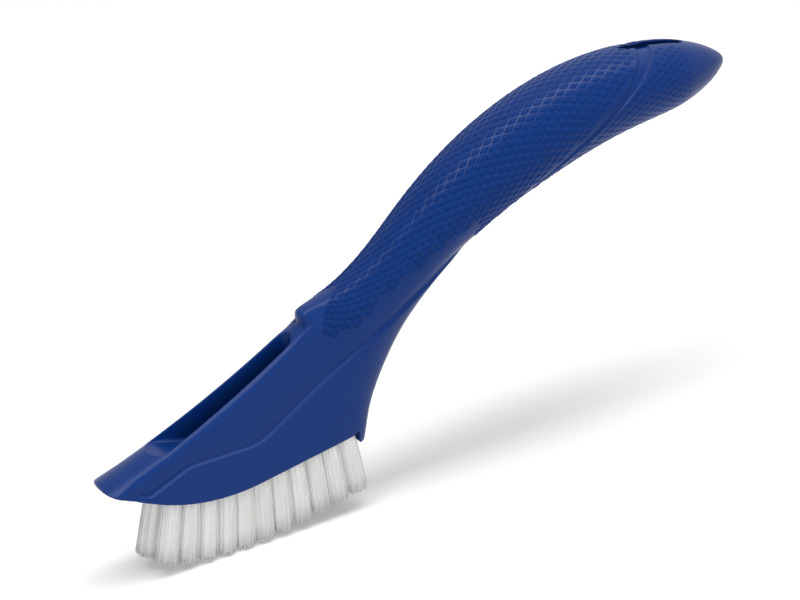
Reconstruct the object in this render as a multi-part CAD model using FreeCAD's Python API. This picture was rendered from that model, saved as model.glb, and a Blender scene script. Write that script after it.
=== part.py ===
import FreeCAD, Part
import math
import os

# Grout brush: one moulded body with a wedge-shaped head and an arched handle, and tufts of nylon filament
# that are folded over flat wire anchors and driven into blind holes in the head.
# Frame: X runs from the nose to the tail, Y across the brush, Z up. Z = 0 is the level of the lowest
# bristle tips, and X = 0 is half way along. All sizes are in millimetres and degrees.

# Tufts: a middle row with a leading tuft, and an outer row on each side set half a pitch back
tufts_per_row = 11
tuft_pitch = 5.66
middle_row_x = -91.5
outer_row_y = 4.2
hole_radius = 1.9
hole_depth = 8.0
drill_point = 1.1
tuft_clearance = 0.05
tuft_tip_radius = 2.6
tuft_fan_x = -53.1
tuft_fan_radius = 169.0
outer_row_splay = 2.5
heel_clearance = 2.2

# Flat wire anchors, wider than the holes so that their ends bite into the plastic
anchor_thickness = 0.4
anchor_height = 1.6
anchor_bite = 0.3
anchor_fold_room = 0.8

# Brush face: the side view is a front slope and a rear slope joined by one bend, and it ends behind the tufts
bristle_length = 19.0
face_bend_x = -70.9
face_bend_radius = 58.0
face_front_slope = 24.4
face_rear_slope = 8.7
face_rear_x = middle_row_x + tuft_pitch * (tufts_per_row - 0.5) + heel_clearance

# Head: nose, top ramp and flanks
nose_x = -108.3
nose_plan_radius = 7.4
ramp_nose_z = 31.1
ramp_mid = (-75.5, 44.0)
ramp_crown_radius = 12.0
head_centre_z = 38.0
head_half_height = 32.0
head_half_width = 6.45
head_flank_taper = 0.24
head_squareness = 6.0
head_stations = 5

# Shoulder where the ramp meets the grip, which begins there as a narrow tongue that widens to the rear
shoulder_lead = 12.6
shoulder_x = face_rear_x - shoulder_lead
shoulder_foot_z = 61.6
tongue_front_width = 5.4
tongue_rear_width = 15.0
tongue_length = 9.0

# Heel lip behind the last tufts
heel_notch_width = 1.6
heel_lip_z = 20.9
heel_lip_radius = 2.0

# Proud lower panel of the head, below the styling line on each flank
panel_proud = 0.5
panel_corner_radius = 12.0
panel_line = [(-99.0, 27.7, 0.0), (-95.7, 26.7, 0.6), (-83.0, 31.9, panel_corner_radius),
              (face_rear_x - 30.8, 31.9, panel_corner_radius), (face_rear_x + 40.4, 74.0, 0.0)]

# Pocket cored out of the top of the head, between two walls
pocket_front_x = -92.4
pocket_rear_wall = 2.6
pocket_front_half_width = 4.7
pocket_rear_half_width = 3.4
pocket_front_radius = 4.4
pocket_floor_z = 33.2
pocket_scoop_radius = 36.0
pocket_scoop_length = 17.0

# Handle: stations along its centre line, from the shoulder to the tail
# (x behind the brush face, z, slope of the centre line, half height, half width, widening towards the top,
# squareness)
handle_stations = [
    (-shoulder_lead, 35.9, 0.0, 29.8, 6.5, -0.20, 3.8),
    (-5.0, 38.8, 10.9, 28.2, 6.7, -0.12, 3.0),
    (0.6, 48.3, 19.9, 20.6, 7.1, 0.0, 2.6),
    (6.2, 56.0, 32.3, 15.4, 7.8, 0.05, 2.3),
    (19.0, 69.1, 41.5, 11.7, 9.4, 0.05, 2.1),
    (33.8, 81.0, 36.0, 11.4, 11.1, 0.03, 2.0),
    (50.7, 91.7, 28.3, 12.7, 12.6, 0.0, 2.0),
    (71.2, 100.6, 18.3, 13.6, 13.4, 0.0, 2.0),
    (94.6, 106.0, 7.6, 12.9, 13.0, 0.0, 2.0),
    (110.4, 106.9, 1.0, 11.5, 12.0, 0.0, 2.0),
]
handle_length = 138.2
tail_x = face_rear_x + handle_length
tail_z = 106.9
tail_fullness = 1.5
tail_dome_steps = (0.3, 0.55, 0.75, 0.9, 0.98)
section_points = 24

# Hang slot through the tail
slot_setback = 26.8
slot_length = 22.0
slot_width = 4.4

# Styling groove across the tail, from the hang slot down to the underside
# (x behind the brush face, z)
groove_depth = 0.5
groove_top = (107.4, 121.0)
groove_mid = (84.9, 103.6)
groove_foot = (49.4, 78.5)
groove_top_width = 3.2
groove_foot_width = 0.6

# Reach of the trimming solids past the brush
reach = 60.0


def vec(x, z, y=0.0):
    return FreeCAD.Vector(x, y, z)


def rounded_path(points):
    """Edges of an open line through (x, z, radius) points, with a tangent arc at each inner point."""
    edges = []
    start = vec(*points[0][:2])
    for before, corner, after in zip(points, points[1:], points[2:]):
        apex = vec(*corner[:2])
        inward = (vec(*before[:2]) - apex).normalize()
        outward = (vec(*after[:2]) - apex).normalize()
        half = inward.getAngle(outward) / 2
        if corner[2] == 0:
            edges.append(Part.LineSegment(start, apex).toShape())
            start = apex
            continue
        setback = corner[2] / math.tan(half)
        middle = (inward + outward).normalize()
        arc_start = apex + inward * setback
        arc_end = apex + outward * setback
        arc_mid = apex + middle * (corner[2] / math.sin(half) - corner[2])
        edges.append(Part.LineSegment(start, arc_start).toShape())
        edges.append(Part.Arc(arc_start, arc_mid, arc_end).toShape())
        start = arc_end
    edges.append(Part.LineSegment(start, vec(*points[-1][:2])).toShape())
    return edges


def prism(edges):
    """Solid of a closed side-view outline, reaching past the brush on both sides."""
    face = Part.Face(Part.Wire(edges))
    face.translate(FreeCAD.Vector(0, -reach, 0))
    return face.extrude(FreeCAD.Vector(0, 2 * reach, 0))


def face_corner(offset):
    """Front and rear tangent points of the brush face's bend, the face lowered by an offset."""
    radius = face_bend_radius + offset
    centre_z = bristle_length + face_bend_radius
    front = math.radians(face_front_slope)
    rear = math.radians(face_rear_slope)
    return ((face_bend_x - radius * math.sin(front), centre_z - radius * math.cos(front)),
            (face_bend_x + radius * math.sin(rear), centre_z - radius * math.cos(rear)),
            (face_bend_x, centre_z - radius))


def face_end(offset, x):
    """Point of the lowered brush face at x, on its front or rear slope."""
    front, rear, lowest = face_corner(offset)
    if x < front[0]:
        return x, front[1] + (front[0] - x) * math.tan(math.radians(face_front_slope))
    if x > rear[0]:
        return x, rear[1] + (x - rear[0]) * math.tan(math.radians(face_rear_slope))
    radius = face_bend_radius + offset
    return x, lowest[1] + radius - math.sqrt(radius ** 2 - (x - face_bend_x) ** 2)


def face_edges(offset, front_x, rear_x):
    """Edges of the lowered brush face from its rear end to its front end."""
    front, rear, lowest = face_corner(offset)
    return [Part.LineSegment(vec(*face_end(offset, rear_x)), vec(*rear)).toShape(),
            Part.Arc(vec(*rear), vec(*lowest), vec(*front)).toShape(),
            Part.LineSegment(vec(*front), vec(*face_end(offset, front_x))).toShape()]


def section(x, z, slope, half_height, half_width, widening, squareness, grow):
    """Closed superellipse across the body, square to a centre line of that slope, from its lowest point."""
    tilt = math.radians(slope)
    up = vec(-math.sin(tilt), math.cos(tilt))
    points = []
    for step in range(section_points):
        angle = 2 * math.pi * step / section_points - math.pi / 2
        across = math.copysign(abs(math.cos(angle)) ** (2 / squareness), math.cos(angle))
        along = math.copysign(abs(math.sin(angle)) ** (2 / squareness), math.sin(angle))
        width = half_width * (1 + widening * along) + grow
        point = vec(x, z) + up * ((half_height + grow) * along)
        points.append(point + FreeCAD.Vector(0, width * across, 0))
    curve = Part.BSplineCurve()
    shares = [step / section_points for step in range(section_points + 1)]
    curve.interpolate(Points=points, PeriodicFlag=True, Parameters=shares)
    return curve


def tail_stations():
    """Shrinking sections that round off the tail, from the last handle station to the tip."""
    x, z, slope, half_height, half_width, widening, squareness = handle_stations[-1]
    for step in tail_dome_steps:
        left = (1 - step ** tail_fullness) ** (1 / tail_fullness)
        yield (x + (handle_length - x) * step, z + (tail_z - z) * step ** 2, slope,
               half_height * left, half_width * left, widening, squareness)


def skin(curves, tip):
    """Solid whose surface passes smoothly through closed section curves and ends in a tip."""
    rows = [curve.getPoles() for curve in curves] + [[tip] * curves[0].NbPoles]
    stations = [0.0]
    for row, following in zip(rows, rows[1:]):
        gaps = [pole.distanceToPoint(other) for pole, other in zip(row, following)]
        stations.append(stations[-1] + sum(gaps) / len(gaps))
    rails = []
    for column in zip(*rows):
        rail = Part.BSplineCurve()
        rail.interpolate(Points=list(column), Parameters=stations)
        rails.append(rail)
    surface = Part.BSplineSurface()
    surface.buildFromPolesMultsKnots([rail.getPoles() for rail in rails],
                                     curves[0].getMultiplicities(), rails[0].getMultiplicities(),
                                     curves[0].getKnots(), rails[0].getKnots(), True, False,
                                     curves[0].Degree, rails[0].Degree)
    sides = []
    for start, end in ((0.0, 0.5), (0.5, 1.0)):
        side = surface.copy()
        side.segment(start, end, stations[0], stations[-1])
        sides.append(side.toShape())
    cap = Part.Face(Part.Wire(curves[0].toShape()))
    shell = Part.Shell(sides + [cap])
    shell.sewShape()
    return Part.Solid(shell)


def outer_form(grow):
    """Smooth outer form of the whole body before it is trimmed, grown or shrunk evenly."""
    head = (head_centre_z, 0.0, head_half_height, head_half_width, -head_flank_taper, head_squareness)
    front_x = nose_x - nose_plan_radius
    step = (shoulder_x - front_x) / head_stations
    stations = [(front_x + step * place,) + head for place in range(head_stations)]
    stations += [(face_rear_x + place[0],) + place[1:] for place in handle_stations + list(tail_stations())]
    curves = [section(*station, grow) for station in stations]
    form = skin(curves, vec(tail_x + grow, tail_z))
    return form if form.Volume > 0 else form.reversed()


def side_trim():
    """Side view that trims the outer form below: brush face, notch and heel lip."""
    front_x = nose_x - reach
    far_x = tail_x + reach
    ceiling = shoulder_foot_z + 2 * reach
    front = face_end(0, front_x)
    heel = face_end(0, face_rear_x)
    lip_x = face_rear_x + heel_notch_width
    edges = rounded_path([front + (0,), (front_x, ceiling, 0), (far_x, ceiling, 0), (far_x, heel_lip_z, 0),
                          (lip_x, heel_lip_z, heel_lip_radius), (lip_x, heel[1] + heel_notch_width / 2, 0.5),
                          heel + (0,)])
    return prism(edges + face_edges(0, front_x, face_rear_x))


def ramp_cut():
    """Space above the head's ramp, hollow lengthwise and crowned across, up to the grip and its tongue."""
    ramp = Part.Circle(vec(nose_x, ramp_nose_z), vec(*ramp_mid), vec(shoulder_x, shoulder_foot_z))
    centre = ramp.Center
    low = centre.z - ramp.Radius
    half = ramp_crown_radius * 0.8
    edge_z = low - ramp_crown_radius + math.sqrt(ramp_crown_radius ** 2 - half ** 2)
    crown = Part.Arc(vec(centre.x, edge_z, -half), vec(centre.x, low), vec(centre.x, edge_z, half)).toShape()
    corners = [vec(centre.x, edge_z, half), vec(centre.x, low + reach, half),
               vec(centre.x, low + reach, -half), vec(centre.x, edge_z, -half)]
    edges = [crown] + [Part.LineSegment(a, b).toShape() for a, b in zip(corners, corners[1:])]
    face = Part.Face(Part.Wire(edges))
    across = FreeCAD.Vector(0, 1, 0)
    sweep = math.degrees(math.asin((shoulder_x + reach - centre.x) / ramp.Radius))
    ring = face.revolve(centre, across, -sweep)
    front_x = nose_x - reach
    rear_x = shoulder_x + tongue_length
    half_front, half_rear = tongue_front_width / 2, tongue_rear_width / 2
    plan = [(front_x, -reach), (rear_x, -reach), (rear_x, -half_rear), (shoulder_x, -half_front),
            (shoulder_x, half_front), (rear_x, half_rear), (rear_x, reach), (front_x, reach), (front_x, -reach)]
    keep = Part.Face(Part.makePolygon([FreeCAD.Vector(x, y, 0) for x, y in plan]))
    return ring.common(keep.extrude(FreeCAD.Vector(0, 0, 4 * reach)))


def nose_trim():
    """Plan view that rounds the nose and leaves the rest of the body alone."""
    centre_x = nose_x + nose_plan_radius
    far_x = tail_x + reach
    side = FreeCAD.Vector(centre_x, nose_plan_radius, 0)
    other = FreeCAD.Vector(centre_x, -nose_plan_radius, 0)
    corners = [side, FreeCAD.Vector(centre_x, reach, 0), FreeCAD.Vector(far_x, reach, 0),
               FreeCAD.Vector(far_x, -reach, 0), FreeCAD.Vector(centre_x, -reach, 0), other]
    edges = [Part.LineSegment(a, b).toShape() for a, b in zip(corners, corners[1:])]
    edges.append(Part.Arc(other, FreeCAD.Vector(nose_x, 0, 0), side).toShape())
    return Part.Face(Part.Wire(edges)).extrude(FreeCAD.Vector(0, 0, 4 * reach))


def lower_panel():
    """Proud panel: the grown outer form below the styling line."""
    start, end = panel_line[0], panel_line[-1]
    edges = rounded_path(panel_line)
    edges += rounded_path([end, (end[0] + reach, end[1], 0), (end[0] + reach, -reach, 0),
                           (nose_x - reach, -reach, 0), (nose_x - reach, start[1], 0), start])
    return outer_form(panel_proud).common(prism(edges))


def pocket():
    """Cored pocket: a tapered slot in plan with a flat floor and a long scooped front."""
    front, rear = pocket_front_x, shoulder_x - pocket_rear_wall
    wide, slim, corner = pocket_front_half_width, pocket_rear_half_width, pocket_front_radius
    lean = math.atan2(wide - slim, rear - slim - front - corner)
    turn = FreeCAD.Vector(math.sin(lean), math.cos(lean), 0)
    front_centre = FreeCAD.Vector(front + corner, wide - corner, 0)
    rear_centre = FreeCAD.Vector(rear - slim, 0, 0)
    side = [FreeCAD.Vector(front, wide - corner, 0), front_centre + turn * corner, rear_centre + turn * slim]
    bulge = (turn + FreeCAD.Vector(-1, 0, 0)).normalize()
    mirrored = [FreeCAD.Vector(point.x, -point.y, 0) for point in side]
    soft = front_centre + bulge * corner
    edges = [Part.Arc(side[0], soft, side[1]).toShape(),
             Part.LineSegment(side[1], side[2]).toShape(),
             Part.Arc(side[2], FreeCAD.Vector(rear, 0, 0), mirrored[2]).toShape(),
             Part.LineSegment(mirrored[2], mirrored[1]).toShape(),
             Part.Arc(mirrored[1], FreeCAD.Vector(soft.x, -soft.y, 0), mirrored[0]).toShape(),
             Part.LineSegment(mirrored[0], side[0]).toShape()]
    column = Part.Face(Part.Wire(edges)).extrude(FreeCAD.Vector(0, 0, 2 * reach))
    scoop = front + pocket_scoop_length - pocket_scoop_radius
    floor_edges = rounded_path([(scoop, 2 * reach, 0), (scoop, pocket_floor_z, pocket_scoop_radius),
                                (rear, pocket_floor_z, 0), (rear, 2 * reach, 0), (scoop, 2 * reach, 0)])
    return column.common(prism(floor_edges))


def hang_slot():
    """Obround slot straight down through the tail."""
    radius = slot_width / 2
    run = slot_length / 2 - radius
    middle = tail_x - slot_setback
    column = Part.makeBox(2 * run, slot_width, 4 * reach, FreeCAD.Vector(middle - run, -radius, 0))
    for end in (middle - run, middle + run):
        column = column.fuse(Part.makeCylinder(radius, 4 * reach, FreeCAD.Vector(end, 0, 0)))
    return column.removeSplitter()


def tail_groove(form):
    """Shallow tapering groove round the tail, following the surface."""
    top, mid, foot = [vec(face_rear_x + x, z) for x, z in (groove_top, groove_mid, groove_foot)]
    run = top - foot
    square = FreeCAD.Vector(-run.z, 0, run.x).normalize()
    mid_width = (groove_top_width + groove_foot_width) / 2
    edges = [Part.Arc(top, mid, foot).toShape(),
             Part.LineSegment(foot, foot - square * groove_foot_width).toShape(),
             Part.Arc(foot - square * groove_foot_width, mid - square * mid_width,
                      top - square * groove_top_width).toShape(),
             Part.LineSegment(top - square * groove_top_width, top).toShape()]
    return form.cut(outer_form(-groove_depth)).common(prism(edges))


def tuft_places():
    """Name, root point on the brush face and direction of each tuft."""
    rows = [("middle", 0.0, 0.0, 0.0), ("left", outer_row_y, tuft_pitch / 2, outer_row_splay),
            ("right", -outer_row_y, tuft_pitch / 2, -outer_row_splay)]
    for row, y, lead, splay in rows:
        for place in range(tufts_per_row):
            x = middle_row_x + lead + tuft_pitch * place
            lean = (x - tuft_fan_x) / tuft_fan_radius
            side = math.tan(math.radians(splay))
            direction = FreeCAD.Vector(math.sin(lean), side, -math.cos(lean)).normalize()
            yield f"tuft_{row}_{place + 1:02d}", vec(*face_end(0, x), y), direction


def blind_hole(root, direction, radius, shorten):
    """Drilled hole, or the tuft's buried end when it is shortened, from the face up to its pointed end."""
    depth = hole_depth - shorten
    shank = Part.makeCylinder(radius, depth + hole_radius, root + direction * hole_radius, -direction)
    point = Part.makeCone(radius, radius / 4, drill_point, root - direction * depth, -direction)
    return shank.fuse(point).removeSplitter()


def anchor(root, direction):
    """Flat wire anchor across the hole, with room above it for the folded filaments."""
    low = hole_depth - anchor_fold_room - anchor_height
    length = 2 * (hole_radius + anchor_bite)
    plate = Part.makeBox(anchor_thickness, length, anchor_height,
                         FreeCAD.Vector(-anchor_thickness / 2, -length / 2, low))
    plate.Placement = FreeCAD.Placement(root, FreeCAD.Rotation(vec(0, 1), -direction))
    return plate


def tuft(root, direction, plate, trim):
    """Bundle of filaments: buried end in its hole, then a flare that is trimmed at the tip."""
    buried = blind_hole(root, direction, hole_radius - tuft_clearance, tuft_clearance)
    flare = Part.makeCone(hole_radius - tuft_clearance, tuft_tip_radius, bristle_length * 1.25, root, direction)
    return buried.fuse(flare).removeSplitter().common(trim).cut(plate)


def bristle_trim():
    """Everything above the level that the bristles are trimmed to."""
    front_x = nose_x - reach
    rear_x = tail_x + reach
    front, rear = face_end(bristle_length, front_x), face_end(bristle_length, rear_x)
    ceiling = max(front[1], rear[1]) + reach
    edges = face_edges(bristle_length, front_x, rear_x)
    edges += rounded_path([front + (0,), (front_x, ceiling, 0), (rear_x, ceiling, 0), rear + (0,)])
    return prism(edges)


def brush_body(tuft_roots, plates):
    """Moulded body with its pocket, hang slot, styling lines, tuft holes and anchor seats."""
    form = outer_form(0)
    body = form.fuse(lower_panel()).common(side_trim()).common(nose_trim()).cut(ramp_cut())
    body = body.cut(pocket()).cut(hang_slot()).cut(tail_groove(form))
    holes = [blind_hole(root, direction, hole_radius, 0) for root, direction in tuft_roots]
    return body.cut(holes).cut(plates)


def main():
    os.makedirs("parts", exist_ok=True)
    places = list(tuft_places())
    plates = [anchor(root, direction) for _, root, direction in places]
    body = brush_body([place[1:] for place in places], plates)
    nodes = {"brush_body": body, "tuft_anchors": Part.Compound(plates)}
    trim = bristle_trim()
    for (name, root, direction), plate in zip(places, plates):
        nodes[name] = tuft(root, direction, plate, trim)
    for name, shape in nodes.items():
        print(f"{name}: {len(shape.Solids)} solid, valid {shape.isValid()}, {shape.Volume:.1f} mm3")
        shape.exportStep(f"parts/{name}.step")


main()
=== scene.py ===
import math
import random
import bmesh
import bpy
import numpy as np
from mathutils import Matrix, Vector


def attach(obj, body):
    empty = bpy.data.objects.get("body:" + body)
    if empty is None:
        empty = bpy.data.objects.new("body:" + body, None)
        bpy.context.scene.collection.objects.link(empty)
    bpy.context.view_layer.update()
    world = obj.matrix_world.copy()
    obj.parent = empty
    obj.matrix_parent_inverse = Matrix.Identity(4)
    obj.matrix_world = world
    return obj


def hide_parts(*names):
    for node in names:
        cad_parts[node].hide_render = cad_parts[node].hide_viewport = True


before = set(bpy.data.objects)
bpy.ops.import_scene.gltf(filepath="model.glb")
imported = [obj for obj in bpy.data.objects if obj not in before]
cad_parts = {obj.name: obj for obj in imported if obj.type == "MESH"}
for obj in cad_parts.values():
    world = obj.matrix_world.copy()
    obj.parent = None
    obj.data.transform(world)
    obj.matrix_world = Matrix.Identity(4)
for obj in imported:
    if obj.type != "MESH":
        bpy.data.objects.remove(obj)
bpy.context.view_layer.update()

mm = 0.001
random.seed(7)


def linear(hexColour):
    # sRGB hex to the linear colour that a socket takes
    parts = [int(hexColour[i:i + 2], 16) / 255 for i in (1, 3, 5)]
    return [p / 12.92 if p <= 0.04045 else ((p + 0.055) / 1.055) ** 2.4 for p in parts] + [1.0]


def addNode(tree, kind, settings=None, inputs=None, links=None):
    # a node with its settings, and with values and links by the name or number of the input
    node = tree.nodes.new(kind)
    for name, value in (settings or {}).items():
        setattr(node, name, value)
    for name, value in (inputs or {}).items():
        node.inputs[name].default_value = value
    for name, source in (links or {}).items():
        tree.links.new(source, node.inputs[name])
    return node


def newMaterial(name):
    material = bpy.data.materials.new(name)
    material.use_nodes = True
    material.node_tree.nodes.clear()
    return material, material.node_tree


# Moulded polypropylene: a satin skin with a faint mottle and a very fine grain, duller on the etched grip pads.
# Satin and etched are roughness and gloss
plastic = {"colour": "#0A3479", "deep": "#083072", "satin": (0.31, 0.18), "etched": (0.5, 0.1),
           "mottleMm": 14.0, "grainMm": 0.45, "grainStrength": 0.05, "grainDepthMm": 0.1, "roughnessSpread": 0.04}


def mouldedPolypropylene(name, roughness, gloss):
    material, tree = newMaterial(name)
    place = addNode(tree, "ShaderNodeTexCoord").outputs["Object"]
    mottle = addNode(tree, "ShaderNodeTexNoise", inputs={"Scale": 1000 / plastic["mottleMm"], "Detail": 3.0},
                     links={"Vector": place})
    colour = addNode(tree, "ShaderNodeMix", {"data_type": "RGBA"},
                     {6: linear(plastic["deep"]), 7: linear(plastic["colour"])}, {0: mottle.outputs["Fac"]})
    grain = addNode(tree, "ShaderNodeTexNoise", inputs={"Scale": 1000 / plastic["grainMm"], "Detail": 2.0},
                    links={"Vector": place})
    bump = addNode(tree, "ShaderNodeBump",
                   inputs={"Strength": plastic["grainStrength"], "Distance": plastic["grainDepthMm"] * mm},
                   links={"Height": grain.outputs["Fac"]})
    spread = plastic["roughnessSpread"]
    rough = addNode(tree, "ShaderNodeMapRange", inputs={"To Min": roughness - spread, "To Max": roughness + spread},
                    links={"Value": grain.outputs["Fac"]})
    shader = addNode(tree, "ShaderNodeBsdfPrincipled", inputs={"IOR": 1.49, "Specular IOR Level": gloss},
                     links={"Base Color": colour.outputs[2], "Roughness": rough.outputs["Result"],
                            "Normal": bump.outputs["Normal"]})
    addNode(tree, "ShaderNodeOutputMaterial", links={"Surface": shader.outputs["BSDF"]})
    return material


# Outer form of the body in mm: stations along its centre line, from the nose to the tail tip
# (x, z, slope, half height, half width, widening towards the top, squareness). The neck starts at station 5,
# and from station 7 the rings stand square to the grip
outerForm = {
    "head": (38.0, 0.0, 32.0, 6.45, -0.24, 6.0), "headX": (-115.7, -101.05, -86.41, -71.76, -57.12),
    "grip": [(-42.47, 35.9, 0.0, 29.8, 6.5, -0.20, 3.8), (-34.87, 38.8, 10.9, 28.2, 6.7, -0.12, 3.0),
             (-29.41, 48.68, 19.9, 20.2, 7.1, 0.0, 2.6), (-23.88, 56.34, 32.3, 15.0, 7.8, 0.05, 2.3),
             (-10.51, 68.69, 41.5, 11.15, 9.4, 0.05, 2.1), (3.93, 81.0, 36.0, 11.4, 11.1, 0.03, 2.0),
             (20.83, 91.7, 28.3, 12.7, 12.6, 0.0, 2.0), (41.33, 100.5, 18.3, 13.5, 13.25, 0.0, 2.0),
             (64.73, 105.9, 7.6, 12.8, 12.9, 0.0, 2.0), (80.53, 106.8, 1.0, 11.4, 12.0, 0.0, 2.0)],
    "tailX": 108.33, "tailFullness": 1.5, "domeSteps": (0.3, 0.55, 0.75, 0.9, 0.98, 1.0),
    "rails": 13, "halvings": 36, "neckAndGrip": (5, 7),
}


def formStations():
    rows = [(x,) + outerForm["head"] for x in outerForm["headX"]] + list(outerForm["grip"])
    x, z, slope, high, wide, widening, square = outerForm["grip"][-1]
    for step in outerForm["domeSteps"]:
        left = (1 - step ** outerForm["tailFullness"]) ** (1 / outerForm["tailFullness"])
        rows.append((x + (outerForm["tailX"] - x) * step, z, slope, high * left, wide * left, widening, square))
    return np.array(rows)


def sectionPoints(row, grow, angle):
    # points of a section, from its lowest point at -90 degrees to its highest at 90
    x, z, slope, high, wide, widening, square = np.moveaxis(np.atleast_2d(row), -1, 0)
    along = np.sign(np.sin(angle)) * np.abs(np.sin(angle)) ** (2 / square)
    across = np.abs(np.cos(angle)) ** (2 / square)
    tilt = np.radians(slope)
    rise = (high + grow) * along
    return np.stack([x - np.sin(tilt) * rise, (wide + grow) * (1 + widening * along) * across,
                     z + np.cos(tilt) * rise], axis=-1)


def naturalSpline(knots, values):
    gap = np.diff(knots)
    rows, right = np.eye(len(knots)), np.zeros_like(values)
    for i in range(1, len(knots) - 1):
        rows[i, i - 1:i + 2] = gap[i - 1], 2 * (gap[i - 1] + gap[i]), gap[i]
        right[i] = 6 * ((values[i + 1] - values[i]) / gap[i] - (values[i] - values[i - 1]) / gap[i - 1])
    bend = np.linalg.solve(rows, right)

    def at(t):
        i = np.clip(np.searchsorted(knots, t) - 1, 0, len(gap) - 1)
        g = gap[i][..., None]
        a, b = (knots[i + 1] - t)[..., None] / g, (t - knots[i])[..., None] / g
        bent = (a ** 3 - a) * bend[i] + (b ** 3 - b) * bend[i + 1]
        return a * values[i] + b * values[i + 1] + bent * g * g / 6
    return at


def runAlong(points):
    # length of a line up to each of its points
    return np.concatenate(([0], np.cumsum(np.linalg.norm(np.diff(points, axis=0), axis=1))))


def pointsAt(places, run, points):
    return np.stack([np.interp(places, run, k) for k in points.T], axis=1)


stationRows = formStations()
railAngles = np.linspace(-math.pi / 2, math.pi / 2, outerForm["rails"])
railRows = np.array([sectionPoints(row, 0, railAngles) for row in stationRows])
railSteps = np.linalg.norm(np.diff(railRows, axis=0), axis=2).mean(axis=1)
stationRun = np.concatenate(([0], np.cumsum(railSteps)))
formAt = naturalSpline(stationRun, stationRows)
neckRun, gripRun = [stationRun[k] for k in outerForm["neckAndGrip"]]


def runOf(x, z):
    # how far along the form the section through a side-view point stands
    low, high = np.zeros(np.shape(x)), np.full(np.shape(x), stationRun[-1])
    for _ in range(outerForm["halvings"]):
        mid = (low + high) / 2
        row = formAt(mid)
        tilt = np.radians(row[..., 2])
        ahead = (x - row[..., 0]) * np.cos(tilt) + (z - row[..., 1]) * np.sin(tilt) > 0
        low, high = np.where(ahead, mid, low), np.where(ahead, high, mid)
    return mid


def halfWidth(x, z, grow):
    row = formAt(runOf(x, z))
    tilt = np.radians(row[..., 2])
    along = (np.cos(tilt) * (z - row[..., 1]) - np.sin(tilt) * (x - row[..., 0])) / (row[..., 3] + grow)
    along = np.clip(along, -1, 1)
    across = (1 - np.abs(along) ** row[..., 6]) ** (1 / row[..., 6])
    return (row[..., 4] + grow) * (1 + row[..., 5] * along) * across


def softStep(share):
    share = np.clip(share, 0, 1)
    return share * share * (3 - 2 * share)


def softCorner(start, corner, end, count):
    share = np.linspace(0, 1, count + 2)[1:-1, None]
    start, corner, end = np.array(start, float), np.array(corner, float), np.array(end, float)
    return (1 - share) ** 2 * start + 2 * share * (1 - share) * corner + share ** 2 * end


# Head, neck and tail of the body in mm. A point of the styling line is x, z and the rounding of its corner
body = {
    "noseX": -108.3, "noseDepth": 3.4, "noseSquare": 2.2,
    "ramp": ((-108.3, 31.1), (-75.5, 44.0), (-42.47, 61.6)), "crown": 12.0, "crownShare": 0.9,
    "faceBend": (-70.9, 77.0), "faceRadius": 58.0, "faceSlopes": (24.4, 8.7), "faceEnds": (-42.3, -29.87),
    "lipX": -28.27, "lipZ": 20.9, "lipCorner": 1.6, "notchZ": 25.4, "notchIn": (0.3, 0.15), "notchCorner": 0.5,
    "kneeZ": 27.5, "kneeIn": (0.15, 0.35, 0.5, 0.05), "kneeLeast": (0.01, 0.02),
    "line": ((-99.0, 27.7, 0), (-95.7, 26.7, 0.35), (-83.0, 31.9, 2.6), (-60.67, 31.9, 3.6), (10.53, 74.0, 0)),
    "lineFade": ((-100.6, 1.6), (5.0, 7.0)), "lineShare": (0.12, 0.75), "lineShareUnder": 12.0,
    "lineLeast": 2.0, "gripLineShare": 0.13,
    "proud": 0.5, "stepHalf": 0.42, "stepShare": 0.1, "gripStepShare": 0.02, "drawnIn": 0.6, "drawnInOver": 2.0,
    "pocketFloor": 33.2, "scoopRadius": 36.0, "scoopX": -69.5, "dishSlope": 0.48, "dishSoft": 3.2,
    "pocketHalf": (4.7, 3.4), "pocketCorner": 4.4, "pocketFront": -92.6, "pocketRear": -45.07,
    "pocketDraft": 0.012, "narrowest": 0.25, "landTilt": (0.2, -0.15), "landTiltRuns": (2, 12, 3),
    "tongueHalf": (2.7, 7.5), "tongueLength": 9.0, "tongueRound": 0.84, "tongueTip": 0.55, "tongueBow": 1.0,
    "tongueBowEase": 0.3, "tongueLeast": 0.03, "tongueLow": 52.0, "tongueRounds": (0.5, 0.3, 0.4, 1.2),
    "slotMiddle": 81.53, "slotHalfLength": 11.0, "slotHalf": 1.85, "slotRound": 0.5, "slotWall": 0.4,
    "cornerRound": 0.5, "ridgeRound": 1.6, "slimRound": 0.3, "lipRound": 0.5, "bowlRound": (3.0, 1.2),
    "bowlRun": 16.0, "mostSetback": 0.45, "overshoot": 0.01,
}
# Columns of each part of a ring, and how many rings it takes for them to turn even once a recess has closed
columns = {"bottom": 9, "corner": 3, "lower": 12, "step": 5, "upper": 24, "ridge": 5, "land": 6, "lip": 4,
           "wall": 10, "bowl": 6, "floor": 9, "slotRim": 4, "evenOver": 26, "lowEvenOver": 14}
# Points that a line is worked out with before it is cut into columns
samples = {"flank": 500, "piece": 160, "land": 60, "floor": 40, "scoop": 2000, "lineCorner": 7, "neck": 900,
           "neckSearch": 880, "neckLand": 40, "neckBunch": 1.6, "face": 60, "heel": 400, "lipCorner": 8,
           "notchCorner": 3, "cap": 120, "capAngle": 1.45, "round": 400, "gripLower": 300, "gripUpper": 500}


def resample(points, shares, start=0.0, end=0.0):
    # points at even or given shares of a line, less a setback at each end
    run = runAlong(points)
    most = run[-1] * body["mostSetback"]
    start, end = min(start, most), min(end, most)
    return pointsAt(start + np.asarray(shares) * (run[-1] - start - end), run, points)


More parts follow.
